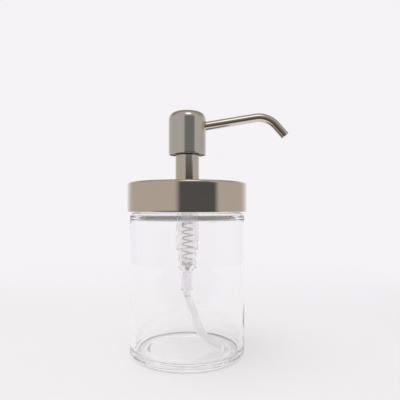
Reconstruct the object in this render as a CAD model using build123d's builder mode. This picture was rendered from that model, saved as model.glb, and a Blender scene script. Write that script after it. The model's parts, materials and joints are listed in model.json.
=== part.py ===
from build123d import *
from math import acos, cos, radians, sin, tan
import os

# Soap pump dispenser: a glass jar, a screw lid and a spring-return pump with a bent spout.
# The origin is the centre of the jar's base. +Z is up and the spout points along +X.

# ---- fits ----
hair = 0.02  # left between two pieces that meet face to face
fit_gap = 0.05  # left round a piece that is pressed into another

# ---- jar ----
jar_radius = 35.8
jar_wall = 2.6
shoulder_z = 85.0  # where the straight wall ends outside
shoulder_round = 2.4
heel_round = 3.0
bearing_inner_radius = 25.0
push_up = 1.0
push_up_slope = 2.0
floor_z = 3.6
inner_heel_round = 3.0
inner_shoulder_z = 82.4  # where the bore starts to narrow
inner_shoulder_round = 5.0
finish_radius = 33.2
mouth_radius = 30.6
rim_z = 103.3
rim_round = 0.8

# ---- screw thread between jar and lid, right-handed ----
thread_pitch = 4.233
thread_turns = 1.3
thread_height = 1.1
thread_base = 1.9
thread_crest = 1.0
thread_root = 0.35  # how far the rib is rooted in its wall
jar_thread_z = 94.2
thread_clearance = 0.3

# ---- lid ----
lid_radius = 37.3
lid_bottom_z = 88.1
lid_top_z = 106.3
lid_sheet = 0.6
lid_top_sheet = 0.8
lid_edge_round = 1.5
insert_roof = 1.2
insert_bottom_z = 89.3
washer_thickness = 1.0
washer_margin = 0.4

# ---- pump neck ----
sleeve_radius = 7.55
sleeve_sheet = 0.5
sleeve_top_z = 126.2
sleeve_chamfer = 0.15
neck_radius = 6.95
neck_top_drop = 0.2
neck_hole_radius = 7.05
collar_flange = 0.8
collar_inset = 0.1
collar_chamfer = 0.6
collar_bottom_z = 105.0
guide_top_z = 112.0
guide_clearance = 0.08
wiper_height = 1.6
wiper_root = 1.2  # the lip's thickness where it leaves the ring
wiper_waist = 0.6
boss_well_radius = 5.0

# ---- pump barrel ----
flange_radius = 12.0
flange_thickness = 1.8
barrel_radius = 7.0
barrel_bore = 5.9
barrel_step_z = 64.3
barrel_step_chamfer = 0.4
bore_cone_top_z = 65.7
bore_cone_bottom_z = 63.7
lower_barrel_radius = 5.85
lower_barrel_bore = 4.75
barrel_bottom_z = 53.0
seat_floor_z = 54.3
seat_hole_radius = 1.3
seat_z = 52.5
socket_radius = 3.8
socket_top_z = 51.3
socket_bottom_z = 39.0
vent_radius = 0.5
vent_z = 99.6

# ---- stem, piston and spring ----
stroke = 12.0
stroke_margin = 0.4  # the head stops on the collar this far past the stroke
stem_radius = 3.0
stem_bore = 1.7
stem_bottom_z = 97.2
stem_top_z = 139.3
stem_shoulder_radius = 4.7
stem_shoulder_z = 103.9
stem_shoulder_height = 1.0
cross_hole_radius = 0.8
cross_hole_z = 98.9
piston_bottom_z = 97.6
piston_top_z = 103.6
piston_clearance = 0.05
piston_hub_wall = 1.1
piston_relief_depth = 0.5
piston_lip = 0.7
piston_lip_land = 0.5
piston_web = 1.2
tip_radius = 4.6
tip_disc = 1.2
tip_nose = 3.0
tip_nose_radius = 2.5
tip_nose_chamfer = 1.2
tip_shank_z = 104.0
tip_rib = 0.9
spring_radius = 3.3  # to the wire's centre
spring_wire = 0.9
spring_pitch = 3.75

# ---- inlet valve ----
ball_radius = 1.9
ball_lift = 1.5
cage_inner = 2.15
cage_outer = 2.75
cage_plate = 0.8
cage_posts = 4
cage_post_width = 1.1

# ---- dip tube, bent in a plane turned towards the front ----
tube_radius = 2.5
tube_bore = 1.75
tube_top_z = 50.0
tube_turn = -17.7
tube_knee = (0, 35.5)
tube_ankle = (9.6, 10.2)
tube_end = (22.4, 6.5)
tube_knee_round = 16.0
tube_ankle_round = 13.5

# ---- head ----
head_radius = 11.9
head_bottom_z = 124.0
head_top_z = 150.8
head_edge_round = 5.0
head_crown = 0.5
head_sheet = 0.6
head_rim_round = 0.25
ring_bottom_z = 124.5
ring_top_z = 126.1
ring_clearance = 0.1
ring_chamfer = 0.4
well_clearance = 0.45
core_top_z = 145.2
core_skirt = 1.2
boss_radius = 4.7
boss_bottom_z = 127.6
channel_radius = 1.0
rib_count = 6
rib_thickness = 1.0

# ---- spout ----
spout_radius = 2.75
spout_bore = 2.25
liner_radius = 2.15
liner_bore = 1.5
spout_rise = 9.4  # degrees above level
spout_drop = 48.5  # degrees below level at the tip
spout_wall_z = 142.15  # height of the centre-line where it leaves the head
spout_inner_x = 8.3
spout_corner_x = 50.7
spout_bend = 14.5
spout_tip_length = 16.8  # from the corner of the two centre-lines to the tip
liner_recess = 1.2
seal_length = 1.5
seal_radius = 3.7
seal_start = 0.5
spout_boss_radius = 4.4
spout_boss_back = 0.2  # the boss starts this far behind the spout's inner end

os.makedirs("parts", exist_ok=True)


def save(part, label):
    part.label = label
    export_step(part, f"parts/{label}.step")


def spout_z(x):
    """Height of the rising centre-line of the spout at x."""
    return spout_wall_z + (x - head_radius) * tan(radians(spout_rise))


def spout_points(tip_length):
    """Centre-line corners of the spout, ending the given length past its bend."""
    corner_z = spout_z(spout_corner_x)
    drop = radians(spout_drop)
    return [
        (spout_inner_x, spout_z(spout_inner_x)),
        (spout_corner_x, corner_z),
        (spout_corner_x + tip_length * cos(drop), corner_z - tip_length * sin(drop)),
    ]


def thread_profile(radius, outward, z):
    """Trapezoid of a thread rib on a wall of the given radius, in the XZ plane."""
    root = radius - outward * thread_root
    crest = radius + outward * thread_height
    return [
        (root, z - thread_base / 2),
        (crest, z - thread_crest / 2),
        (crest, z + thread_crest / 2),
        (root, z + thread_base / 2),
    ]


# ---------------------------------------------------------------- jar
jar_inner = jar_radius - jar_wall
ledge_z = shoulder_z + shoulder_round
shoulder_turn = acos(1 - (jar_inner - mouth_radius) / inner_shoulder_round)
mouth_bottom_z = inner_shoulder_z + inner_shoulder_round * sin(shoulder_turn)
with BuildPart() as jar:
    with BuildSketch(Plane.XZ):
        with BuildLine():
            Polyline(
                (0, push_up),
                (bearing_inner_radius - push_up_slope, push_up),
                (bearing_inner_radius, 0),
                (jar_radius - heel_round, 0),
            )
            RadiusArc((jar_radius - heel_round, 0), (jar_radius, heel_round), -heel_round)
            Line((jar_radius, heel_round), (jar_radius, shoulder_z))
            RadiusArc(
                (jar_radius, shoulder_z),
                (jar_radius - shoulder_round, ledge_z),
                -shoulder_round,
            )
            Polyline(
                (jar_radius - shoulder_round, ledge_z),
                (finish_radius, ledge_z),
                (finish_radius, rim_z),
                (mouth_radius, rim_z),
                (mouth_radius, mouth_bottom_z),
            )
            RadiusArc(
                (mouth_radius, mouth_bottom_z),
                (jar_inner, inner_shoulder_z),
                inner_shoulder_round,
            )
            Line((jar_inner, inner_shoulder_z), (jar_inner, floor_z + inner_heel_round))
            RadiusArc(
                (jar_inner, floor_z + inner_heel_round),
                (jar_inner - inner_heel_round, floor_z),
                inner_heel_round,
            )
            Polyline((jar_inner - inner_heel_round, floor_z), (0, floor_z), (0, push_up))
        make_face()
    revolve(axis=Axis.Z)
    fillet(jar.edges().filter_by(GeomType.CIRCLE).group_by(Axis.Z)[-1], rim_round)
    with BuildLine():
        jar_helix = Helix(
            thread_pitch,
            thread_pitch * thread_turns,
            finish_radius,
            center=(0, 0, jar_thread_z),
        )
    with BuildSketch(Plane.XZ):
        with BuildLine():
            Polyline(*thread_profile(finish_radius, 1, jar_thread_z), close=True)
        make_face()
    sweep(path=jar_helix, is_frenet=True)
save(jar.part, "jar")

# ---------------------------------------------------------------- lid
with BuildPart() as lid_shell:
    with BuildSketch(Plane.XY.offset(lid_bottom_z)):
        Circle(lid_radius)
    extrude(amount=lid_top_z - lid_bottom_z)
    fillet(lid_shell.faces().sort_by(Axis.Z)[-1].edges(), lid_edge_round)
    with BuildSketch(Plane.XY.offset(lid_bottom_z)):
        Circle(lid_radius - lid_sheet)
    extrude(amount=lid_top_z - lid_bottom_z - lid_top_sheet, mode=Mode.SUBTRACT)
    with Locations((0, 0, lid_top_z)):
        Hole(neck_hole_radius)
save(lid_shell.part, "lid_shell")

insert_radius = lid_radius - lid_sheet - fit_gap
insert_top_z = lid_top_z - lid_top_sheet
insert_roof_z = insert_top_z - insert_roof
insert_bore = finish_radius + thread_height + thread_clearance
insert_thread_z = jar_thread_z - thread_pitch / 2
with BuildPart() as lid_insert:
    with BuildSketch(Plane.XY.offset(insert_bottom_z)):
        Circle(insert_radius)
    extrude(amount=insert_top_z - insert_bottom_z)
    chamfer(lid_insert.faces().sort_by(Axis.Z)[-1].edges(), lid_edge_round)
    with BuildSketch(Plane.XY.offset(insert_bottom_z)):
        Circle(insert_bore)
    extrude(amount=insert_roof_z - insert_bottom_z, mode=Mode.SUBTRACT)
    with Locations((0, 0, insert_top_z)):
        Hole(neck_hole_radius)
    with BuildLine():
        insert_helix = Helix(
            thread_pitch,
            thread_pitch * thread_turns,
            insert_bore,
            center=(0, 0, insert_thread_z),
        )
    with BuildSketch(Plane.XZ):
        with BuildLine():
            Polyline(*thread_profile(insert_bore, -1, insert_thread_z), close=True)
        make_face()
    sweep(path=insert_helix, is_frenet=True)
save(lid_insert.part, "lid_insert")

with BuildPart() as lid_gasket:
    with BuildSketch(Plane.XY.offset(rim_z)):
        Circle(insert_bore - washer_margin)
        Circle(mouth_radius - washer_margin, mode=Mode.SUBTRACT)
    extrude(amount=insert_roof_z - rim_z)
save(lid_gasket.part, "lid_gasket")

with BuildPart() as flange_gasket:
    with BuildSketch(Plane.XY.offset(insert_roof_z - washer_thickness)):
        Circle(flange_radius - washer_margin)
        Circle(neck_hole_radius, mode=Mode.SUBTRACT)
    extrude(amount=washer_thickness)
save(flange_gasket.part, "flange_gasket")

# ---------------------------------------------------------------- pump neck
with BuildPart() as neck_sleeve:
    with BuildSketch(Plane.XY.offset(lid_top_z)):
        Circle(sleeve_radius)
        Circle(sleeve_radius - sleeve_sheet, mode=Mode.SUBTRACT)
    extrude(amount=sleeve_top_z - lid_top_z)
    chamfer(neck_sleeve.faces().sort_by(Axis.Z)[-1].outer_wire().edges(), sleeve_chamfer)
save(neck_sleeve.part, "neck_sleeve")

flange_top_z = insert_roof_z - washer_thickness
neck_top_z = sleeve_top_z - neck_top_drop
socket_bore = tube_radius + hair
with BuildPart() as pump_housing:
    with BuildSketch(Plane.XZ):
        with BuildLine():
            Polyline(
                (socket_bore, socket_bottom_z),
                (socket_radius, socket_bottom_z),
                (socket_radius, socket_top_z),
                (lower_barrel_radius, barrel_bottom_z),
                (lower_barrel_radius, barrel_step_z - barrel_step_chamfer),
                (lower_barrel_radius + barrel_step_chamfer, barrel_step_z),
                (barrel_radius, barrel_step_z),
                (barrel_radius, flange_top_z - flange_thickness),
                (flange_radius, flange_top_z - flange_thickness),
                (flange_radius, flange_top_z),
                (neck_radius, flange_top_z),
                (neck_radius, neck_top_z),
                (barrel_bore, neck_top_z),
                (barrel_bore, bore_cone_top_z),
                (lower_barrel_bore, bore_cone_bottom_z),
                (lower_barrel_bore, seat_floor_z),
                (seat_hole_radius + seat_floor_z - seat_z, seat_floor_z),
                (seat_hole_radius, seat_z),
                (seat_hole_radius, tube_top_z),
                (socket_bore, tube_top_z),
                (socket_bore, socket_bottom_z),
            )
        make_face()
    revolve(axis=Axis.Z)
    with BuildSketch(Plane.XZ):
        with Locations((0, vent_z)):
            Circle(vent_radius)
    extrude(amount=-barrel_radius - 1, mode=Mode.SUBTRACT)
save(pump_housing.part, "pump_housing")

collar_radius = barrel_bore - fit_gap
collar_top_z = sleeve_top_z + collar_flange
collar_flange_radius = sleeve_radius - collar_inset
guide_radius = stem_radius + guide_clearance
with BuildPart() as neck_collar:
    with BuildSketch(Plane.XZ):
        with BuildLine():
            Polyline(
                (guide_radius, collar_bottom_z),
                (collar_radius - collar_chamfer, collar_bottom_z),
                (collar_radius, collar_bottom_z + collar_chamfer),
                (collar_radius, sleeve_top_z),
                (collar_flange_radius, sleeve_top_z),
                (collar_flange_radius, collar_top_z),
                (boss_well_radius, collar_top_z),
                (boss_well_radius, guide_top_z),
                (guide_radius, guide_top_z),
                (guide_radius, collar_bottom_z),
            )
        make_face()
    revolve(axis=Axis.Z)
save(neck_collar.part, "neck_collar")

wiper_bore = stem_radius + piston_clearance
wiper_radius = boss_well_radius - fit_gap
with BuildPart() as wiper_ring:
    with BuildSketch(Plane.XZ):
        with BuildLine():
            Polyline(
                (wiper_bore, guide_top_z),
                (wiper_radius, guide_top_z),
                (wiper_radius, guide_top_z + wiper_height),
                (stem_radius + wiper_root, guide_top_z + wiper_height),
                (stem_radius + wiper_waist, guide_top_z + wiper_height / 2),
                (wiper_bore, guide_top_z + wiper_height * 3 / 4),
                (wiper_bore, guide_top_z),
            )
        make_face()
    revolve(axis=Axis.Z)
save(wiper_ring.part, "wiper_ring")

# ---------------------------------------------------------------- stem, piston, spring
with BuildPart() as stem:
    with BuildSketch(Plane.XY.offset(stem_bottom_z)):
        Circle(stem_radius)
    extrude(amount=stem_top_z - stem_bottom_z)
    with BuildSketch(Plane.XY.offset(stem_shoulder_z)):
        Circle(stem_shoulder_radius)
    extrude(amount=stem_shoulder_height)
    with BuildSketch(Plane.XY.offset(stem_bottom_z)):
        Circle(stem_bore)
    extrude(amount=stem_top_z - stem_bottom_z, mode=Mode.SUBTRACT)
    for turn in (45, 135):
        with BuildSketch(Plane.XZ.rotated((0, 0, turn))):
            with Locations((0, cross_hole_z)):
                Circle(cross_hole_radius)
        extrude(amount=2 * stem_radius, both=True, mode=Mode.SUBTRACT)
save(stem.part, "stem")

spring_top_z = stem_bottom_z - tip_disc
with BuildPart() as stem_tip:
    with BuildSketch(Plane.XZ):
        with BuildLine():
            Polyline(
                (0, spring_top_z - tip_nose),
                (tip_nose_radius - tip_nose_chamfer, spring_top_z - tip_nose),
                (tip_nose_radius, spring_top_z - tip_nose + tip_nose_chamfer),
                (tip_nose_radius, spring_top_z),
                (tip_radius, spring_top_z),
                (tip_radius, stem_bottom_z),
                (0, stem_bottom_z),
                (0, spring_top_z - tip_nose),
            )
        make_face()
    revolve(axis=Axis.Z)
    # the shank is a cross, so that the soap passes it on its way up the stem
    with BuildSketch(Plane.XY.offset(stem_bottom_z)):
        with PolarLocations(0, 4):
            Rectangle(2 * stem_bore, tip_rib)
        Circle(stem_bore - hair, mode=Mode.INTERSECT)
    extrude(amount=tip_shank_z - stem_bottom_z)
save(stem_tip.part, "stem_tip")

piston_hole = stem_radius + piston_clearance
piston_radius = barrel_bore - piston_clearance
piston_relief = piston_hole + piston_relief_depth
piston_hub = piston_hole + piston_hub_wall
piston_waist = piston_radius - piston_lip_land
web_bottom_z = (piston_bottom_z + piston_top_z - piston_web) / 2
web_top_z = web_bottom_z + piston_web
with BuildPart() as piston:
    with BuildSketch(Plane.XZ):
        with BuildLine():
            Polyline(
                (piston_hole, web_bottom_z),
                (piston_relief, web_bottom_z - piston_relief_depth),
                (piston_relief, piston_bottom_z),
                (piston_hub, piston_bottom_z),
                (piston_hub, web_bottom_z),
                (piston_radius - piston_lip, piston_bottom_z),
                (piston_radius, piston_bottom_z),
                (piston_radius, piston_bottom_z + piston_lip_land),
                (piston_waist, web_bottom_z),
                (piston_waist, web_top_z),
                (piston_radius, piston_top_z - piston_lip_land),
                (piston_radius, piston_top_z),
                (piston_radius - piston_lip, piston_top_z),
                (piston_hub, web_top_z),
                (piston_hub, piston_top_z),
                (piston_hole, piston_top_z),
                (piston_hole, web_bottom_z),
            )
        make_face()
    revolve(axis=Axis.Z)
save(piston.part, "piston")

spring_height = spring_top_z - seat_floor_z - spring_wire - 2 * hair
with BuildPart() as return_spring:
    with BuildLine():
        spring_helix = Helix(
            spring_pitch,
            spring_height,
            spring_radius,
            center=(0, 0, seat_floor_z + spring_wire / 2 + hair),
            lefthand=True,
        )
    with BuildSketch(Plane(origin=spring_helix @ 0, z_dir=spring_helix % 0)):
        Circle(spring_wire / 2)
    sweep(path=spring_helix, is_frenet=True)
save(return_spring.part, "return_spring")

# ---------------------------------------------------------------- inlet valve
# the ball touches its 45 degree seat on a circle, and stands a hair clear of it
ball_z = seat_z - seat_hole_radius + ball_radius * 2**0.5 + hair
with BuildPart() as check_ball:
    with BuildSketch(Plane.XZ):
        with BuildLine():
            CenterArc((0, ball_z), ball_radius, -90, 180)
            Line((0, ball_z + ball_radius), (0, ball_z - ball_radius))
        make_face()
    revolve(axis=Axis.Z)
save(check_ball.part, "check_ball")

cage_top_z = ball_z + ball_radius + ball_lift + fit_gap + cage_plate
with BuildPart() as ball_cage:
    with BuildSketch(Plane.XY.offset(seat_floor_z)):
        Circle(cage_outer)
        Circle(cage_inner, mode=Mode.SUBTRACT)
    extrude(amount=cage_plate)
    with BuildSketch(Plane.XY.offset(seat_floor_z)):
        with PolarLocations((cage_inner + cage_outer) / 2, cage_posts):
            Rectangle(cage_outer - cage_inner - 2 * hair, cage_post_width)
    extrude(amount=cage_top_z - seat_floor_z)
    with BuildSketch(Plane.XY.offset(cage_top_z - cage_plate)):
        Circle(cage_outer)
        Circle(cage_inner / 2, mode=Mode.SUBTRACT)
    extrude(amount=cage_plate)
save(ball_cage.part, "ball_cage")

# ---------------------------------------------------------------- dip tube
tube_plane = Plane.XZ.rotated((0, 0, tube_turn))
with BuildPart() as dip_tube:
    with BuildLine(tube_plane):
        tube_path = FilletPolyline(
            (0, tube_top_z),
            tube_knee,
            tube_ankle,
            tube_end,
            radius=[tube_knee_round, tube_ankle_round],
        )
    with BuildSketch(Plane.XY.offset(tube_top_z)):
        Circle(tube_radius)
        Circle(tube_bore, mode=Mode.SUBTRACT)
    sweep(path=tube_path)
save(dip_tube.part, "dip_tube")

# ---------------------------------------------------------------- head
spout_direction = (cos(radians(spout_rise)), 0, sin(radians(spout_rise)))
spout_plane = Plane(
    origin=(spout_inner_x, 0, spout_z(spout_inner_x)),
    x_dir=(0, 1, 0),
    z_dir=spout_direction,
)
head_inner = head_radius - head_sheet
head_round_z = head_top_z - head_edge_round
head_flat = head_radius - head_edge_round
with BuildPart() as head_shell:
    with BuildSketch(Plane.XZ):
        with BuildLine():
            Line((head_inner, head_bottom_z), (head_radius, head_bottom_z))
            Line((head_radius, head_bottom_z), (head_radius, head_round_z))
            RadiusArc((head_radius, head_round_z), (head_flat, head_top_z), -head_edge_round)
            Spline(
                (head_flat, head_top_z),
                (0, head_top_z + head_crown),
                tangents=[(-1, 0), (-1, 0)],
            )
            Line((0, head_top_z + head_crown), (0, head_top_z - head_sheet))
            Line((0, head_top_z - head_sheet), (head_flat, head_top_z - head_sheet))
            RadiusArc(
                (head_flat, head_top_z - head_sheet),
                (head_inner, head_round_z),
                head_edge_round - head_sheet,
            )
            Line((head_inner, head_round_z), (head_inner, head_bottom_z))
        make_face()
    revolve(axis=Axis.Z)
    with BuildSketch(spout_plane):
        Circle(spout_radius + fit_gap)
    extrude(amount=head_radius, mode=Mode.SUBTRACT)
    rim_edges = head_shell.faces().filter_by(Axis.Z).sort_by(Axis.Z)[0].outer_wire().edges()
    fillet(rim_edges, head_rim_round)
save(head_shell.part, "head_shell")

core_radius = head_inner - fit_gap
core_bottom_z = ring_top_z + fit_gap
well_radius = sleeve_radius + well_clearance
well_top_z = collar_top_z + stroke + stroke_margin
channel_z = spout_z(spout_inner_x)
with BuildPart() as head_core:
    with BuildSketch(Plane.XY.offset(core_bottom_z)):
        Circle(core_radius)
    extrude(amount=core_top_z - core_bottom_z)
    with BuildSketch(Plane.XY.offset(core_bottom_z)):
        Circle(core_radius - core_skirt)
        with PolarLocations(core_radius - core_skirt, rib_count, start_angle=30):
            Rectangle(2 * core_skirt, rib_thickness, mode=Mode.SUBTRACT)
    extrude(amount=well_top_z - core_bottom_z, mode=Mode.SUBTRACT)
    with BuildSketch(spout_plane.offset(-spout_boss_back)):
        Circle(spout_boss_radius)
    extrude(amount=core_radius)
    with BuildSketch(Plane.XY.offset(core_bottom_z)):
        Circle(core_radius)
    extrude(amount=core_top_z - core_bottom_z, mode=Mode.INTERSECT)
    with BuildSketch(Plane.XY.offset(core_bottom_z)):
        Circle(well_radius)
    extrude(amount=well_top_z - core_bottom_z, mode=Mode.SUBTRACT)
    with BuildSketch(Plane.XY.offset(boss_bottom_z)):
        Circle(boss_radius)
    extrude(amount=well_top_z - boss_bottom_z)
    with BuildSketch(Plane.XY.offset(boss_bottom_z)):
        Circle(stem_radius + hair)
    extrude(amount=well_top_z - boss_bottom_z, mode=Mode.SUBTRACT)
    with BuildSketch(Plane.XY.offset(well_top_z)):
        Circle(stem_bore)
    extrude(amount=channel_z + channel_radius - well_top_z, mode=Mode.SUBTRACT)
    with BuildSketch(spout_plane):
        Circle(channel_radius)
    extrude(amount=-spout_inner_x, mode=Mode.SUBTRACT)
    with BuildSketch(spout_plane):
        Circle(spout_radius + fit_gap)
    extrude(amount=head_radius, mode=Mode.SUBTRACT)
    with BuildSketch(spout_plane.offset(seal_start)):
        Circle(seal_radius + hair)
    extrude(amount=seal_length + 2 * hair, mode=Mode.SUBTRACT)
save(head_core.part, "head_core")

with BuildPart() as head_ring:
    with BuildSketch(Plane.XY.offset(ring_bottom_z)):
        Circle(core_radius)
        Circle(sleeve_radius + ring_clearance, mode=Mode.SUBTRACT)
    extrude(amount=ring_top_z - ring_bottom_z)
    chamfer(head_ring.faces().sort_by(Axis.Z)[0].inner_wires()[0].edges(), ring_chamfer)
save(head_ring.part, "head_ring")

# ---------------------------------------------------------------- spout
with BuildPart() as spout:
    with BuildLine(Plane.XZ):
        spout_path = FilletPolyline(*spout_points(spout_tip_length), radius=spout_bend)
    with BuildSketch(spout_plane):
        Circle(spout_radius)
        Circle(spout_bore, mode=Mode.SUBTRACT)
    sweep(path=spout_path)
save(spout.part, "spout")

with BuildPart() as spout_liner:
    with BuildLine(Plane.XZ):
        liner_path = FilletPolyline(*spout_points(spout_tip_length - liner_recess), radius=spout_bend)
    with BuildSketch(spout_plane):
        Circle(liner_radius)
        Circle(liner_bore, mode=Mode.SUBTRACT)
    sweep(path=liner_path)
save(spout_liner.part, "spout_liner")

with BuildPart() as spout_seal:
    with BuildSketch(spout_plane.offset(seal_start + hair)):
        Circle(seal_radius)
        Circle(spout_radius, mode=Mode.SUBTRACT)
    extrude(amount=seal_length)
save(spout_seal.part, "spout_seal")
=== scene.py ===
import json
import math

import bpy
from mathutils import Matrix, Vector


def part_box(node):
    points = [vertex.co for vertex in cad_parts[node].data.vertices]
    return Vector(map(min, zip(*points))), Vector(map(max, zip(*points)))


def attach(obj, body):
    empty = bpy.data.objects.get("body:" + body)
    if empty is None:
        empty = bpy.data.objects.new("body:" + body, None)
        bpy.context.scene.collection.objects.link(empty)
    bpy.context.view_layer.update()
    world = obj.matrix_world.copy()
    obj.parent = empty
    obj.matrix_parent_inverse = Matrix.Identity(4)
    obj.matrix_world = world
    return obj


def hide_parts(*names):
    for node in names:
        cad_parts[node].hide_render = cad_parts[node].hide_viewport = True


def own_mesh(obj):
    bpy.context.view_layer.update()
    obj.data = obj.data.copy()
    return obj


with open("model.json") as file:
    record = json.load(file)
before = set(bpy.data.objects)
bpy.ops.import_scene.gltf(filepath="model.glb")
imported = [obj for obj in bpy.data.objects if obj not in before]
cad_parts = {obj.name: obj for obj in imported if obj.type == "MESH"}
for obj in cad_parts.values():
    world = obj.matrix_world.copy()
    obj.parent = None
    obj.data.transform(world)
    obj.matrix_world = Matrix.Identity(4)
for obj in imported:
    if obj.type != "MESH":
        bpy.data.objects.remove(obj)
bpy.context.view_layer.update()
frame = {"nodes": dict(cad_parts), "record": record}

MM = 0.001
TAU = 2 * math.pi
STEEL = (0.72, 0.66, 0.60)
PAPER = (0.918, 0.893, 0.922)  # the pale room, as a linear colour
FLOOR_Z = -0.25  # millimetres: a hair below the glass, so that the two surfaces don't share a plane


# ------------------------------------------------------------------ camera
def make_camera():
    """A level camera at the height where the lid's underside is seen edge on."""
    lens_mm, sensor_mm, shift = 36.6, 36, 0.016
    distance, side, height = 0.257, 0.008, 0.0915
    data = bpy.data.cameras.new("camera")
    data.lens = lens_mm
    data.sensor_width = sensor_mm
    data.shift_y = shift
    data.clip_start = 0.01
    camera = bpy.data.objects.new("camera", data)
    bpy.context.scene.collection.objects.link(camera)
    camera.location = (side, -distance, height)
    camera.rotation_euler = (math.pi / 2, 0, 0)
    bpy.context.scene.camera = camera


# ------------------------------------------------------------------ mesh helpers, all in millimetres
def box(node):
    """The lowest and highest corner of a CAD node, in millimetres."""
    low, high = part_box(node)
    return Vector(low) / MM, Vector(high) / MM


def add_mesh(name, verts, faces, sharp_degrees=30):
    mesh = bpy.data.meshes.new(name)
    mesh.from_pydata([Vector(v) * MM for v in verts], [], faces)
    mesh.validate()
    mesh.shade_smooth()
    mesh.set_sharp_from_angle(angle=math.radians(sharp_degrees))
    piece = bpy.data.objects.new(name, mesh)
    bpy.context.scene.collection.objects.link(piece)
    return piece


def arc(cx, cz, radius, start, end, steps=10):
    """Points of an arc from start to end degrees, both ends included."""
    points = []
    for i in range(steps + 1):
        a = math.radians(start + (end - start) * i / steps)
        points.append((cx + radius * math.cos(a), cz + radius * math.sin(a)))
    return points


def run(start, end, steps):
    """Evenly spaced points on a straight stretch, without its two ends."""
    (r0, z0), (r1, z1) = start, end
    return [(r0 + (r1 - r0) * i / steps, z0 + (z1 - z0) * i / steps) for i in range(1, steps)]


def skin(rings):
    """Faces between closed rings of vertex numbers, the last ring joined to the first."""
    faces = []
    for k, ring in enumerate(rings):
        after = rings[(k + 1) % len(rings)]
        for i in range(len(ring)):
            j = (i + 1) % len(ring)
            corners = [ring[i], ring[j], after[j], after[i]]
            face = [v for n, v in enumerate(corners) if v not in corners[:n]]
            if len(face) > 2:
                faces.append(face)
    return faces


def lathe(name, outline, steps=192, shape=None):
    """Turns a closed (radius, height) outline about Z. The outline runs anticlockwise.
    shape(angle, r, z), if given, says where a point of it goes at that angle."""
    verts, rings = [], []
    for r, z in outline:
        if r < 1e-6:
            rings.append([len(verts)] * steps)
            verts.append((0, 0, z))
            continue
        rings.append(list(range(len(verts), len(verts) + steps)))
        for i in range(steps):
            a = TAU * i / steps
            radius, height = shape(a, r, z) if shape else (r, z)
            verts.append((radius * math.cos(a), radius * math.sin(a), height))
    return add_mesh(name, verts, skin(rings))


class Route:
    """Straight runs joined by tangent arcs, given by corner points and one radius for each inner corner."""

    def __init__(self, corners, radii):
        corners = [Vector(c) for c in corners]
        self.runs = []
        start = corners[0]
        for k, radius in enumerate(radii, 1):
            into = (corners[k] - corners[k - 1]).normalized()
            out = (corners[k + 1] - corners[k]).normalized()
            turn = into.angle(out)
            cut = radius * math.tan(turn / 2)
            arc_start = corners[k] - into * cut
            self.runs.append((start, into, None, (arc_start - start).length))
            axis = into.cross(out).normalized()
            centre = arc_start + axis.cross(into) * radius
            self.runs.append((arc_start, into, (centre, axis, radius), radius * turn))
            start = corners[k] + out * cut
        last = corners[-1] - start
        self.runs.append((start, last.normalized(), None, last.length))
        self.length = sum(r[3] for r in self.runs)

    def at(self, distance):
        """The point and direction at a distance along the route."""
        for start, along, bend, length in self.runs:
            if distance <= length or (start, along, bend, length) == self.runs[-1]:
                break
            distance -= length
        if bend is None:
            return start + along * distance, along
        centre, axis, radius = bend
        turned = Matrix.Rotation(distance / radius, 3, axis)
        return centre + turned @ (start - centre), turned @ along


def sweep(name, route, section, steps=72):
    """Carries closed (distance, radius) rings along a route: out along the outside, back along the bore.
    A ring starts at +Y where the route leans to X and at +X elsewhere, so that the dip tube's skin has
    a quarter-turn twist between two rings, where it starts to lean."""
    verts, rings = [], []
    for distance, radius in section:
        centre, along = route.at(distance)
        side = Vector((0, 1, 0)) if abs(along.y) < 0.5 and abs(along.x) > 0.2 else Vector((1, 0, 0))
        side = (side - along * side.dot(along)).normalized()
        up = along.cross(side)
        rings.append(list(range(len(verts), len(verts) + steps)))
        for i in range(steps):
            a = TAU * i / steps
            verts.append(centre + radius * (math.cos(a) * side + math.sin(a) * up))
    return add_mesh(name, verts, skin(rings))


def tube_section(length, radius, bore, edge, step):
    """Rings of a tube, about a step apart. Its far rim is rounded, and its near rim is square."""
    count = max(2, round(length / step))
    rings = [(length * i / count, radius) for i in range(count)]
    rings += [(length - edge, radius)]
    wall = (radius - bore) / 2
    for i in range(1, 8):
        a = math.pi * i / 8
        rings.append((length - edge + edge * math.sin(a), bore + wall + wall * math.cos(a)))
    rings += [(length - edge, bore)]
    rings += [(length * (count - 1 - i) / count, bore) for i in range(count)]
    return [r for n, r in enumerate(rings) if r not in rings[:n]]


# ------------------------------------------------------------------ material helpers
def new_material(name, color, roughness=0.5, metallic=0.0, ior=1.5):
    material = bpy.data.materials.new(name)
    material.use_nodes = True
    tree = material.node_tree
    shader = tree.nodes["Principled BSDF"]
    shader.inputs["Base Color"].default_value = (*color, 1)
    shader.inputs["Roughness"].default_value = roughness
    shader.inputs["Metallic"].default_value = metallic
    shader.inputs["IOR"].default_value = ior
    return material, tree, shader


def feed(tree, socket, value):
    """Links a socket to another one, or gives it a plain value."""
    if isinstance(value, bpy.types.NodeSocket):
        tree.links.new(value, socket)
    else:
        socket.default_value = value


def node(tree, kind, **inputs):
    made = tree.nodes.new(kind)
    for key, value in inputs.items():
        feed(tree, made.inputs[key.replace("_", " ")], value)
    return made


def math_node(tree, operation, a, b=0.0):
    made = tree.nodes.new("ShaderNodeMath")
    made.operation = operation
    feed(tree, made.inputs[0], a)
    feed(tree, made.inputs[1], b)
    return made.outputs[0]


def own_place(tree):
    """The piece's own coordinates, in metres."""
    return node(tree, "ShaderNodeTexCoord").outputs["Object"]


def split(tree, vector):
    return node(tree, "ShaderNodeSeparateXYZ", Vector=vector).outputs


def from_axis(tree, x, y):
    """The distance from Z."""
    x_square = math_node(tree, "MULTIPLY", x, x)
    y_square = math_node(tree, "MULTIPLY", y, y)
    return math_node(tree, "SQRT", math_node(tree, "ADD", x_square, y_square))


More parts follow.
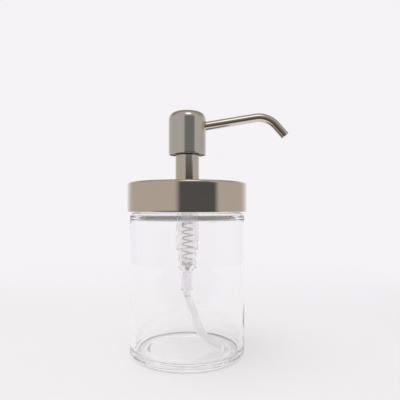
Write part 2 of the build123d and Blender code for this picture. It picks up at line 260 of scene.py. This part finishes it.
def place(tree, stretch=(1, 1, 1)):
    """The piece's own coordinates, stretched."""
    return node(tree, "ShaderNodeMapping", Vector=own_place(tree), Scale=stretch).outputs[0]


def turned_place(tree):
    """Coordinates that change only with height and with distance from Z, for lathe lines."""
    x, y, z = split(tree, own_place(tree))
    return node(tree, "ShaderNodeCombineXYZ", X=from_axis(tree, x, y), Z=z).outputs[0]


def noise(tree, vector, scale, detail=3.0, roughness=0.5):
    made = node(tree, "ShaderNodeTexNoise", Vector=vector, Scale=scale, Detail=detail, Roughness=roughness)
    return made.outputs["Fac"]


def spread(tree, value, low, high, start=0.3, end=0.7):
    """Takes a value from start to end over to low to high, and stops at both ends."""
    limits = {"From_Min": start, "From_Max": end, "To_Min": low, "To_Max": high}
    return node(tree, "ShaderNodeMapRange", Value=value, **limits).outputs[0]


def blend(tree, factor, first, second):
    """A mix of two colours, each a plain (red, green, blue) or another node's output."""
    made = tree.nodes.new("ShaderNodeMix")
    made.data_type = "RGBA"
    factor_socket, first_socket, second_socket = made.inputs[0], made.inputs[6], made.inputs[7]
    feed(tree, factor_socket, factor)
    for socket, color in ((first_socket, first), (second_socket, second)):
        feed(tree, socket, (*color, 1) if isinstance(color, tuple) else color)
    return made.outputs[2]


def show_mix(tree, factor, first, second):
    """Gives the material a mix of two shaders."""
    mixed = tree.nodes.new("ShaderNodeMixShader")
    for socket, value in zip(mixed.inputs, (factor, first, second)):
        tree.links.new(value, socket)
    tree.links.new(mixed.outputs[0], tree.nodes["Material Output"].inputs["Surface"])


def bump(tree, height, strength, distance):
    return node(tree, "ShaderNodeBump", Height=height, Strength=strength, Distance=distance).outputs[0]


# ------------------------------------------------------------------ materials
def steel_material(name, vector_maker, line_scale, line_depth):
    """Polished stainless: warm tone, fine polishing lines and faint smudges."""
    material, tree, shader = new_material(name, STEEL, 0.12, metallic=1.0)
    lines = noise(tree, vector_maker(tree), line_scale, 4)
    smudges = noise(tree, place(tree), 90, 4)
    tone = [tuple(c * k for c in STEEL) for k in (0.96, 1.03)]
    tree.links.new(blend(tree, spread(tree, lines, 0, 1), *tone), shader.inputs["Base Color"])
    tree.links.new(spread(tree, smudges, 0.03, 0.08), shader.inputs["Roughness"])
    tree.links.new(bump(tree, lines, line_depth, 0.00002), shader.inputs["Normal"])
    return material


def clear_material(name, color, roughness, ior, wave_scale, wave, weight=1.0):
    """A clear body that lets plain light through to what is behind it."""
    material, tree, shader = new_material(name, color, roughness, ior=ior)
    shader.inputs["Transmission Weight"].default_value = weight
    ripple = noise(tree, place(tree, (1, 1, 0.45)), wave_scale, 2)
    tree.links.new(bump(tree, ripple, wave, 0.0005), shader.inputs["Normal"])
    shadow = node(tree, "ShaderNodeLightPath").outputs["Is Shadow Ray"]
    through = node(tree, "ShaderNodeBsdfTransparent", Color=(*[c * 0.97 for c in color], 1)).outputs[0]
    show_mix(tree, shadow, shader.outputs[0], through)
    return material


def plastic_material(name, dark, light, roughness, grain_scale=900, grain=0.08, subsurface=0.0):
    material, tree, shader = new_material(name, light, roughness)
    cloud = noise(tree, place(tree), 60, 4)
    grains = noise(tree, place(tree), grain_scale, 2)
    tree.links.new(blend(tree, spread(tree, cloud, 0, 1), dark, light), shader.inputs["Base Color"])
    tree.links.new(spread(tree, grains, roughness - 0.06, roughness + 0.06), shader.inputs["Roughness"])
    tree.links.new(bump(tree, grains, grain, 0.00005), shader.inputs["Normal"])
    shader.inputs["Subsurface Weight"].default_value = subsurface
    shader.inputs["Subsurface Scale"].default_value = 0.002
    return material


def wire_material(name, dark, light):
    material, tree, shader = new_material(name, light, 0.3, metallic=1.0)
    drawn = noise(tree, place(tree, (1, 1, 6)), 700, 3)
    tree.links.new(blend(tree, spread(tree, drawn, 0, 1), dark, light), shader.inputs["Base Color"])
    tree.links.new(spread(tree, drawn, 0.22, 0.4), shader.inputs["Roughness"])
    tree.links.new(bump(tree, drawn, 0.1, 0.00003), shader.inputs["Normal"])
    return material


def make_materials():
    """Each slot's material, and the drawn steel of the spout, whose slot is polished_steel."""
    return {
        "polished_steel": steel_material("turned_steel", turned_place, line_scale=2600, line_depth=0.008),
        "spout_steel": steel_material("drawn_steel", place, line_scale=300, line_depth=0.01),
        "glass": clear_material(
            "jar_glass", (0.995, 0.998, 0.996), roughness=0.0, ior=1.5, wave_scale=38, wave=0.25),
        "clear_plastic": clear_material(
            "housing_plastic", (0.998, 0.986, 0.989), roughness=0.2, ior=1.12, wave_scale=120, wave=0.1,
            weight=0.87),
        "tube_plastic": clear_material(
            "tube_plastic", (0.995, 0.99, 0.99), roughness=0.2, ior=1.1, wave_scale=150, wave=0.2,
            weight=0.8),
        "white_plastic": plastic_material(
            "white_plastic", (0.89, 0.885, 0.875), (0.93, 0.93, 0.92), roughness=0.42, subsurface=0.1),
        # near-black: painted shade, standing in for the dark hollow under the head
        "dark_plastic": plastic_material(
            "dark_plastic", (0.035, 0.033, 0.033), (0.055, 0.052, 0.05), roughness=0.38),
        "seal_rubber": plastic_material(
            "seal_rubber", (0.76, 0.76, 0.74), (0.83, 0.83, 0.81), roughness=0.62, grain_scale=500,
            grain=0.15),
        "spring_steel": wire_material("spring_wire", (0.66, 0.65, 0.64), (0.78, 0.77, 0.76)),
        "ball_steel": wire_material("ball_steel", (0.40, 0.40, 0.41), (0.52, 0.52, 0.53)),
    }


def dress(piece, material):
    piece.data.materials.clear()
    piece.data.materials.append(material)


# ------------------------------------------------------------------ jar
def make_jar():
    """The glass: a thick base with a push-up, a thin wall, a rounded shoulder and a threaded finish."""
    top_corner = box("jar")[1]
    radius, rim = top_corner.x, top_corner.z
    wall, floor, heel, inner_heel = 2.6, 3.6, 3.0, 3.0
    shoulder, shoulder_round = 85.0, 2.4
    inner_shoulder, inner_round = 82.4, 5.0
    finish, mouth, rim_round, finish_fillet = 33.2, 30.6, 0.8, 0.5
    bore = radius - wall
    ledge = shoulder + shoulder_round
    inner_turn = math.degrees(math.acos(1 - (bore - mouth) / inner_round))
    dome, dome_radius, dome_round = 1.0, 23.0, 1.2
    bearing, foot_round = 25.0, 0.9
    outline = [(0, dome)]
    outline += run((0, dome), (dome_radius, dome), 12)
    outline += arc(dome_radius, dome - dome_round, dome_round, 90, 50, 5)
    outline += arc(bearing + foot_round, foot_round, foot_round, 215, 270, 5)
    outline += run((bearing + foot_round, 0), (radius - heel, 0), 14)
    outline += arc(radius - heel, heel, heel, -90, 0, 14)
    outline += run((radius, heel), (radius, shoulder), 48)
    outline += arc(radius - shoulder_round, shoulder, shoulder_round, 0, 90, 12)
    outline += arc(finish + finish_fillet, ledge + finish_fillet, finish_fillet, 270, 180, 4)
    outline += run((finish, ledge + finish_fillet), (finish, rim - rim_round), 72)
    outline += arc(finish - rim_round, rim - rim_round, rim_round, 0, 90, 8)
    outline += arc(mouth + rim_round, rim - rim_round, rim_round, 90, 180, 8)
    outline += run((mouth, rim - rim_round), (mouth, ledge), 12)
    outline += arc(bore - inner_round, inner_shoulder, inner_round, inner_turn, 0, 16)
    outline += run((bore, inner_shoulder), (bore, floor + inner_heel), 48)
    outline += arc(bore - inner_heel, floor + inner_heel, inner_heel, 0, -90, 16)
    outline += run((bore - inner_heel, floor), (0, floor), 14)
    outline += [(0, floor)]

    pitch, turns, first, run_out = 4.233, 1.3, 94.2, 0.25
    height, crest, base = 1.1, 0.5, 0.95

    def thread(a, z):
        """How far the screw thread stands out at this angle and height: it dies away in run_out radians."""
        rise = 0.0
        for lap in (0, 1):
            turn = a / TAU + lap
            end = min(turn, turns - turn) * TAU / run_out
            off = abs(z - first - pitch * turn)
            side = (base - off) / (base - crest)
            rise = max(rise, height * min(1, max(0, side)) * min(1, max(0, end)))
        return rise

    knurl_first, knurl_last, knurl_depth, knurls = 27.0, 31.5, 0.15, 90

    def shape(a, r, z):
        """The thread, the slight waves of the blown bore, and the knurled ring that the jar stands on."""
        if abs(r - finish) < 1e-6 and z > ledge + 0.4:
            return r + thread(a, z), z
        if r == bore:
            wave = 0.10 * math.sin(3 * a + z / 11) * math.sin(z / 17 + 1) + 0.05 * math.sin(7 * a - z / 9)
            return r + wave, z
        if z == 0 and knurl_first < r < knurl_last:
            return r, knurl_depth * (0.5 + 0.5 * math.cos(knurls * a))
        return r, z

    return lathe("jar_glass", outline, 360, shape)


# ------------------------------------------------------------------ lid and neck
def make_lid():
    """The steel cap: one drawn sheet with a soft top edge and a hem turned under at the bottom."""
    low, high = box("lid_shell")
    radius, bottom, top = high.x, low.z, high.z
    side, roof, edge, inner_edge = 0.6, 0.8, 1.5, 1
    hem, inner_hem, hole, hole_round = 0.45, 0.15, 7.05, 0.3
    inner = radius - side
    outline = [(hole, top - roof)]
    outline += run((hole, top - roof), (inner - inner_edge, top - roof), 8)
    outline += arc(inner - inner_edge, top - roof - inner_edge, inner_edge, 90, 0, 6)
    outline += run((inner, top - roof - inner_edge), (inner, bottom + 2 * inner_hem), 6)
    outline += arc(inner + inner_hem, bottom + inner_hem, inner_hem, 180, 270, 3)
    outline += arc(radius - hem, bottom + hem, hem, -90, 0, 8)
    outline += run((radius, bottom + hem), (radius, top - edge), 8)
    outline += arc(radius - edge, top - edge, edge, 0, 90, 14)
    outline += run((radius - edge, top), (hole + hole_round, top), 12)
    outline += arc(hole + hole_round, top - hole_round, hole_round, 90, 180, 4)
    return lathe("lid_cap", outline, 288)


def make_sleeve():
    """The neck's steel sleeve, with a soft upper rim."""
    low, high = box("neck_sleeve")
    radius, bottom, top = high.x, low.z, high.z
    bore, edge = radius - 0.5, 0.2
    outline = [(bore, bottom), (radius, bottom)]
    outline += run((radius, bottom), (radius, top - edge), 8)
    outline += arc(radius - edge, top - edge, edge, 0, 90, 5)
    outline += [(bore, top)]
    return lathe("neck_tube", outline, 144)


# ------------------------------------------------------------------ pump
def make_housing():
    """The moulded pump barrel with its flange, step, cone and tube socket."""
    low, high = box("pump_housing")
    bottom, top = low.z, high.z
    flange, neck, barrel, bore = high.x, 6.95, 7.0, 5.9
    flange_top, flange_bottom, flange_round = 103.3, 101.5, 0.25
    step, lower, lower_bore = 64.3, 5.85, 4.75
    bore_step_top, bore_step_bottom = 65.7, 63.7
    cone_top, cone_bottom, cone_round = 53.2, 51.0, 0.5
    socket, socket_bore, socket_edge, tube_top = 3.8, 2.52, 0.3, 50.0
    seat_floor, seat, seat_hole = 54.3, 52.5, 1.3
    round_in, neck_edge = 0.4, 0.2
    outline = [(socket_bore, bottom + socket_edge), (socket_bore + socket_edge, bottom)]
    outline += [(socket - socket_edge, bottom)]
    outline += arc(socket - socket_edge, bottom + socket_edge, socket_edge, -60, 0, 4)
    outline += [(socket, cone_bottom), (socket + 0.1, cone_bottom + 0.3), (lower - 0.25, cone_top - 0.4)]
    outline += arc(lower - cone_round, cone_top, cone_round, -30, 0, 4)
    outline += run((lower, cone_top), (lower, step - 0.6), 8)
    outline += [(lower, step - 0.6), (lower + 0.15, step - 0.2)]
    outline += arc(barrel - round_in, step + round_in, round_in, -80, 0, 5)
    outline += run((barrel, step + round_in), (barrel, flange_bottom - round_in), 14)
    outline += arc(barrel + round_in, flange_bottom - round_in, round_in, 180, 90, 4)
    outline += arc(flange - flange_round, flange_bottom + flange_round, flange_round, -90, 0, 4)
    outline += arc(flange - flange_round, flange_top - flange_round, flange_round, 0, 90, 4)
    outline += [(neck, flange_top), (neck, top - neck_edge), (neck - neck_edge, top), (bore, top)]
    outline += run((bore, top), (bore, bore_step_top), 16)
    outline += [(bore, bore_step_top), (lower_bore, bore_step_bottom)]
    outline += run((lower_bore, bore_step_bottom), (lower_bore, seat_floor + round_in), 6)
    outline += arc(lower_bore - round_in, seat_floor + round_in, round_in, 0, -90, 4)
    outline += [(seat_hole + seat_floor - seat, seat_floor), (seat_hole, seat)]
    outline += [(seat_hole, tube_top), (socket_bore, tube_top)]
    return lathe("pump_barrel", outline, 128)


def make_spring():
    """A left-hand compression spring with closed end turns."""
    low, high = box("return_spring")
    wire = 0.45
    radius = high.x - wire
    bottom, top = low.z + wire, high.z - wire
    closed_turns, closed_pitch, open_pitch = 1.4, 0.98, 3.74
    closed = closed_turns * closed_pitch
    open_turns = (top - bottom - 2 * closed) / open_pitch
    turns = open_turns + 2 * closed_turns
    ease = 0.35

    def slope(t):
        """Rise per turn, eased between the closed and the open stretches."""
        inside = min(t, turns - t) - closed_turns
        mix = min(1, max(0, 0.5 + inside / (2 * ease)))
        return closed_pitch + (open_pitch - closed_pitch) * mix * mix * (3 - 2 * mix)

    per_turn, around = 48, 14
    count = round(turns * per_turn)
    heights = [0.0]
    for i in range(count):
        heights.append(heights[-1] + slope((i + 0.5) * turns / count) * turns / count)
    scale = (top - bottom) / heights[-1]
    verts, faces = [], []
    for i, rise in enumerate(heights):
        a = -TAU * turns * i / count
        out = Vector((math.cos(a), math.sin(a), 0))
        ahead = Vector((math.sin(a), -math.cos(a), slope(i * turns / count) / (TAU * radius))).normalized()
        up = out.cross(ahead).normalized()
        centre = out * radius + Vector((0, 0, bottom + rise * scale))
        for k in range(around):
            b = TAU * k / around
            verts.append(centre + wire * (math.cos(b) * out + math.sin(b) * up))
    for i in range(count):
        for k in range(around):
            j = (k + 1) % around
            faces.append([i * around + k, (i + 1) * around + k, (i + 1) * around + j, i * around + j])
    faces.append(list(range(around)))
    last = count * around
    faces.append([last + around - 1 - k for k in range(around)])
    return add_mesh("pump_spring", verts, faces, 50)


def make_dip_tube():
    """The soft suction tube, bent forwards and to the right, with its end near the floor."""
    turn = math.radians(-17.7)
    out_and_up = [(0, 50.0), (0, 35.5), (9.6, 10.2), (22.4, 6.5)]
    corners = [(out * math.cos(turn), out * math.sin(turn), z) for out, z in out_and_up]
    route = Route(corners, [16.0, 13.5])
    return sweep("suction_tube", route, tube_section(route.length, 2.5, 1.75, 0.25, 0.8))


# ------------------------------------------------------------------ head and spout
SPOUT_TIP = 16.8  # from the bend's corner to the tip


def spout_route(tip_length):
    """The spout's centre-line: a gentle rise from the head, one bend, then down to the tip."""
    rise, drop, bend = 9.4, 48.5, 14.5
    wall_x, wall_z, inner_x, corner_x = 11.75, 142.15, 8.3, 50.7
    slope = math.tan(math.radians(rise))
    corner = Vector((corner_x, 0, wall_z + (corner_x - wall_x) * slope))
    down = Vector((math.cos(math.radians(drop)), 0, -math.sin(math.radians(drop))))
    start = (inner_x, 0, wall_z + (inner_x - wall_x) * slope)
    return Route([start, corner, corner + down * tip_length], [bend])


def make_spout():
    route = spout_route(SPOUT_TIP)
    return sweep("spout_tube", route, tube_section(route.length, 2.75, 2.25, 0.15, 0.7))


def make_liner():
    route = spout_route(SPOUT_TIP - 1.2)
    return sweep("spout_lining", route, tube_section(route.length, 2.15, 1.5, 0.2, 1.0))


def cut(piece, cutter):
    """Takes the cutter's shape out of a piece and drops the cutter."""
    modifier = piece.modifiers.new("cut", "BOOLEAN")
    modifier.object = cutter
    modifier.solver = "EXACT"
    graph = bpy.context.evaluated_depsgraph_get()
    mesh = bpy.data.meshes.new_from_object(piece.evaluated_get(graph))
    piece.modifiers.clear()
    piece.data = mesh
    mesh.shade_smooth()
    mesh.set_sharp_from_angle(angle=math.radians(30))
    bpy.data.objects.remove(cutter)


def make_head():
    """The drawn press head: straight wall, round shoulder, slightly crowned top, and the spout's hole."""
    low, high = box("head_shell")
    radius, bottom = high.x, low.z
    top = high.z - 0.5
    edge, crown, sheet, rim = 5.0, 0.5, 0.6, 0.25
    inner = radius - sheet
    flat = radius - edge

    def crown_at(r):
        return top + crown * (0.5 + 0.5 * math.cos(math.pi * r / flat))

    outline = [(inner, bottom), (radius - rim, bottom)]
    outline += arc(radius - rim, bottom + rim, rim, -90, 0, 5)[1:]
    outline += run((radius, bottom + rim), (radius, top - edge), 30)
    outline += arc(radius - edge, top - edge, edge, 0, 90, 28)
    outline += [(flat * (1 - i / 12), crown_at(flat * (1 - i / 12))) for i in range(1, 13)]
    outline += [(0, top - sheet)]
    outline += run((0, top - sheet), (flat, top - sheet), 6)
    outline += arc(flat, top - edge, edge - sheet, 90, 0, 20)
    outline += run((inner, top - edge), (inner, bottom), 20)
    head = lathe("head_cap", outline, 192)
    hole, depth, point = 2.8, 8, 0.001
    drill = [(0, point), (0, hole), (depth, hole), (depth, point)]
    cut(head, sweep("spout_hole", spout_route(SPOUT_TIP), drill))
    return head


def make_ring():
    """The ring that closes the head's underside."""
    low, high = box("head_ring")
    radius, bottom, top = high.x, low.z, high.z
    bore, edge, round_edge = 7.65, 0.4, 0.2
    outline = [(bore + edge, bottom), (radius - round_edge, bottom)]
    outline += arc(radius - round_edge, bottom + round_edge, round_edge, -90, 0, 4)[1:]
    outline += [(radius, top), (bore, top), (bore, bottom + edge)]
    return lathe("head_floor", outline, 144)


# ------------------------------------------------------------------ pieces
def make_pieces(materials):
    """Each detailed piece with the CAD node it stands for, its body, slot and material."""
    made = [
        (make_jar(), "jar", "jar", "glass", "glass"),
        (make_lid(), "lid_shell", "lid", "polished_steel", "polished_steel"),
        (make_sleeve(), "neck_sleeve", "lid", "polished_steel", "polished_steel"),
        (make_housing(), "pump_housing", "lid", "clear_plastic", "clear_plastic"),
        (make_spring(), "return_spring", "lid", "spring_steel", "spring_steel"),
        (make_dip_tube(), "dip_tube", "lid", "tube_plastic", "tube_plastic"),
        (make_head(), "head_shell", "head", "polished_steel", "polished_steel"),
        # the ring's near-black plastic is painted shade of the head's hollow underside
        (make_ring(), "head_ring", "head", "dark_plastic", "dark_plastic"),
        (make_spout(), "spout", "head", "polished_steel", "spout_steel"),
        (make_liner(), "spout_liner", "head", "white_plastic", "white_plastic"),
    ]
    for piece, node_name, body, slot, material in made:
        dress(piece, materials[material])
        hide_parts(node_name)
        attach(piece, body)
    spring = bpy.data.objects["pump_spring"]
    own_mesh(spring)


def finish_nodes(materials):
    """The CAD nodes that stay get the material of their slot."""
    slots = {part["node"]: part["material_slot"] for part in frame["record"]["subparts"]}
    for name, part in frame["nodes"].items():
        for slot in part.material_slots:
            slot.material = materials[slots[name]]


# ------------------------------------------------------------------ studio
def make_floor():
    """A wide pale floor whose far part melts into the room's colour, with a painted contact shadow round
    the glass heel.
    """
    steps = 96
    turns = [TAU * i / steps for i in range(steps)]
    rings = [30, 60, 100, 160, 260, 450, 900, 3000.0]
    verts = [(0, 0, FLOOR_Z)]
    for radius in rings:
        verts += [(radius * math.cos(a), radius * math.sin(a), FLOOR_Z) for a in turns]
    faces = [[0, 1 + i, 1 + (i + 1) % steps] for i in range(steps)]
    for k in range(len(rings) - 1):
        a, b = 1 + k * steps, 1 + (k + 1) * steps
        faces += [[a + i, b + i, b + (i + 1) % steps, a + (i + 1) % steps] for i in range(steps)]
    floor = add_mesh("studio_floor", verts, faces)
    material, tree, shader = new_material("floor_paper", (0.69, 0.677, 0.683), 0.55)
    x, y, _ = split(tree, own_place(tree))
    away = from_axis(tree, x, y)
    glowing = spread(tree, away, 0.6, 1, 0.06, 0.45)
    behind = spread(tree, y, 0, 1, 0.09, 0.26)
    far_off = spread(tree, away, 0, 1, 0.35, 0.8)
    melting = math_node(tree, "MAXIMUM", behind, far_off)
    paper = blend(tree, melting, (0.866, 0.85, 0.858), PAPER)
    heel = 0.0322  # where the glass meets the floor: a painted contact shadow, a soft dark line, runs along it
    from_heel = math_node(tree, "ABSOLUTE", math_node(tree, "SUBTRACT", away, heel))
    # painted contact shadow: a grey ring mixed into the floor's glow just round the heel
    painted_contact_shadow = spread(tree, from_heel, 0, 1, 0.0005, 0.0030)
    shade = blend(tree, painted_contact_shadow, (0.45, 0.44, 0.44), paper)
    glow = node(tree, "ShaderNodeEmission", Color=shade).outputs[0]
    show_mix(tree, glowing, shader.outputs[0], glow)
    dress(floor, material)


def glow_material(name):
    """A material that only gives off light; its colour is linked by the caller."""
    material = bpy.data.materials.new(name)
    material.use_nodes = True
    tree = material.node_tree
    tree.nodes.clear()
    glow = node(tree, "ShaderNodeEmission", Strength=1.0)
    output = tree.nodes.new("ShaderNodeOutputMaterial")
    tree.links.new(glow.outputs[0], output.inputs[0])
    return material, tree, glow


def ramp(tree, turn, stops):
    """Colours round the room, from (azimuth in degrees, colour) stops. A turn of 0 to 1 is -180 to 180."""
    made = tree.nodes.new("ShaderNodeValToRGB")
    tree.links.new(turn, made.inputs[0])
    elements = made.color_ramp.elements
    elements.remove(elements[1])
    for k, (azimuth, color) in enumerate(stops):
        element = elements[0] if k == 0 else elements.new((azimuth + 180) / 360)
        element.position = (azimuth + 180) / 360
        element.color = (*color, 1)
    return made.outputs[0]


PALE, TABLE_SIDE, HEAD_SIDE = (0.9, 0.9, 0.9), (0.55, 0.5, 0.45), (0.5, 0.5, 0.5)
TABLE_DARK, HEAD_DARK = (0.1, 0.1, 0.1), (0.2, 0.2, 0.2)


def wall_colors(tree, turn, side, dark, start, end):
    """A pale back, plain sides and a dark front from start to end degrees, each edge 10 degrees wide."""
    return ramp(tree, turn, [
        (-180, PALE), (-150, PALE), (-120, side), (start - 10, side), (start, dark),
        (end, dark), (end + 10, side), (120, side), (150, PALE), (180, PALE),
    ])


def room_place(tree):
    """How far a point is in front of Z, how high it is, and its turn about Z from 0 to 1 (0.5 in front)."""
    x, y, height = split(tree, own_place(tree))
    front = math_node(tree, "MULTIPLY", y, -1.0)
    turn = spread(tree, math_node(tree, "ARCTAN2", x, front), 0, 1, -math.pi, math.pi)
    return front, height, turn


def plain_behind_glass(tree, color):
    """Light that has been through the glass finds the pale room, as in a light tent."""
    passed = node(tree, "ShaderNodeLightPath").outputs["Transmission Depth"]
    return blend(tree, math_node(tree, "MINIMUM", passed, 1.0), color, PAPER)


def mirror_only(thing):
    """The steel mirrors it, and nothing else sees it."""
    thing.visible_camera = False
    thing.visible_diffuse = False
    thing.visible_transmission = False
    thing.visible_shadow = False


def make_room():
    """The room that the steel mirrors: pale sides, a dark side in front, a softbox and a dim ceiling."""
    radius, low, high, rise, steps = 420.0, -20.0, 330.0, 290.0, 180
    rings = [(radius, low), (radius, high)]
    for i in range(1, 12):
        lean = math.pi * i / 24
        rings.append((radius * math.cos(lean), high + rise * math.sin(lean)))
    turns = [TAU * i / steps for i in range(steps)]
    verts, faces = [], []
    for r, z in rings:
        verts += [(r * math.sin(a), -r * math.cos(a), z) for a in turns]
    for k in range(len(rings) - 1):
        a, b = k * steps, (k + 1) * steps
        faces += [[a + i, a + (i + 1) % steps, b + (i + 1) % steps, b + i] for i in range(steps)]
    faces.append([len(verts) - steps + i for i in range(steps)])
    room = add_mesh("mirrored_room", verts, faces)
    material, tree, glow = glow_material("room_glow")
    front, height, turn = room_place(tree)
    table_level = wall_colors(tree, turn, TABLE_SIDE, TABLE_DARK, -10, 50)
    head_level = wall_colors(tree, turn, HEAD_SIDE, HEAD_DARK, -10, 40)
    wall = blend(tree, spread(tree, height, 0, 1, 0.14, 0.18), table_level, head_level)
    ceiling = blend(tree, spread(tree, front, 0, 1, -0.10, 0.05), (0.30, 0.29, 0.29), (0.50, 0.48, 0.46))
    above = blend(tree, spread(tree, height, 0, 1, 0.30, 0.46), wall, ceiling)
    from_lamp = node(tree, "ShaderNodeVectorMath")
    from_lamp.operation = "DISTANCE"
    feed(tree, from_lamp.inputs[0], own_place(tree))
    feed(tree, from_lamp.inputs[1], (0.05, -0.27, 0.57))
    softbox = spread(tree, from_lamp.outputs["Value"], 1, 0, 0.10, 0.15)
    lit = blend(tree, softbox, above, (1.6, 1.55, 1.48))
    low_down = spread(tree, height, 1, 0, 0.045, 0.065)
    in_front = spread(tree, front, 0, 1, 0.18, 0.24)
    table_end = math_node(tree, "MULTIPLY", low_down, in_front)
    room_color = blend(tree, table_end, lit, (0.08, 0.07, 0.07))
    tree.links.new(plain_behind_glass(tree, room_color), glow.inputs["Color"])
    dress(room, material)
    mirror_only(room)


def make_table_edge():
    """The dark end of the table below the camera, which the spout's underside mirrors."""
    left, right, near, far = -260.0, 300.0, -115.0, -415.0
    z, steps = 0.5, 12
    verts = []
    for i in range(steps + 1):
        x = left + (right - left) * i / steps
        verts += [(x, near, z), (x, far, z)]
    faces = [[2 * i, 2 * i + 1, 2 * i + 3, 2 * i + 2] for i in range(steps)]
    table = add_mesh("mirrored_table", verts, faces)
    material, tree, glow = glow_material("table_glow")
    front = room_place(tree)[0]
    shade = blend(tree, spread(tree, front, 0, 1, 0.115, 0.19), (0.80, 0.78, 0.78), (0.09, 0.08, 0.08))
    tree.links.new(plain_behind_glass(tree, shade), glow.inputs["Color"])
    dress(table, material)
    mirror_only(table)


def make_lights():
    world = bpy.data.worlds.new("pale_room")
    bpy.context.scene.world = world
    world.use_nodes = True
    world.node_tree.nodes["Background"].inputs["Color"].default_value = (*PAPER, 1)
    world.node_tree.nodes["Background"].inputs["Strength"].default_value = 1.0
    data = bpy.data.lights.new("softbox", "AREA")
    data.shape = "RECTANGLE"
    data.size = 0.5
    data.size_y = 0.4
    data.energy = 3.0
    data.color = (1.0, 0.98, 0.96)
    softbox = bpy.data.objects.new("softbox", data)
    bpy.context.scene.collection.objects.link(softbox)
    softbox.location = (-0.15, -0.1, 0.75)
    softbox.rotation_euler = (Vector((0, 0, 0.08)) - softbox.location).to_track_quat("-Z", "Y").to_euler()
    softbox.visible_glossy = False
    bpy.context.scene.view_settings.view_transform = "Standard"
    paths = bpy.context.scene.cycles  # light runs far round the jar's thick base before it gets out
    paths.max_bounces = 32
    paths.diffuse_bounces = 12
    paths.glossy_bounces = 24
    paths.transmission_bounces = 24
    paths.transparent_max_bounces = 32


make_camera()
library = make_materials()
finish_nodes(library)
make_pieces(library)
make_floor()
make_room()
make_table_edge()
make_lights()
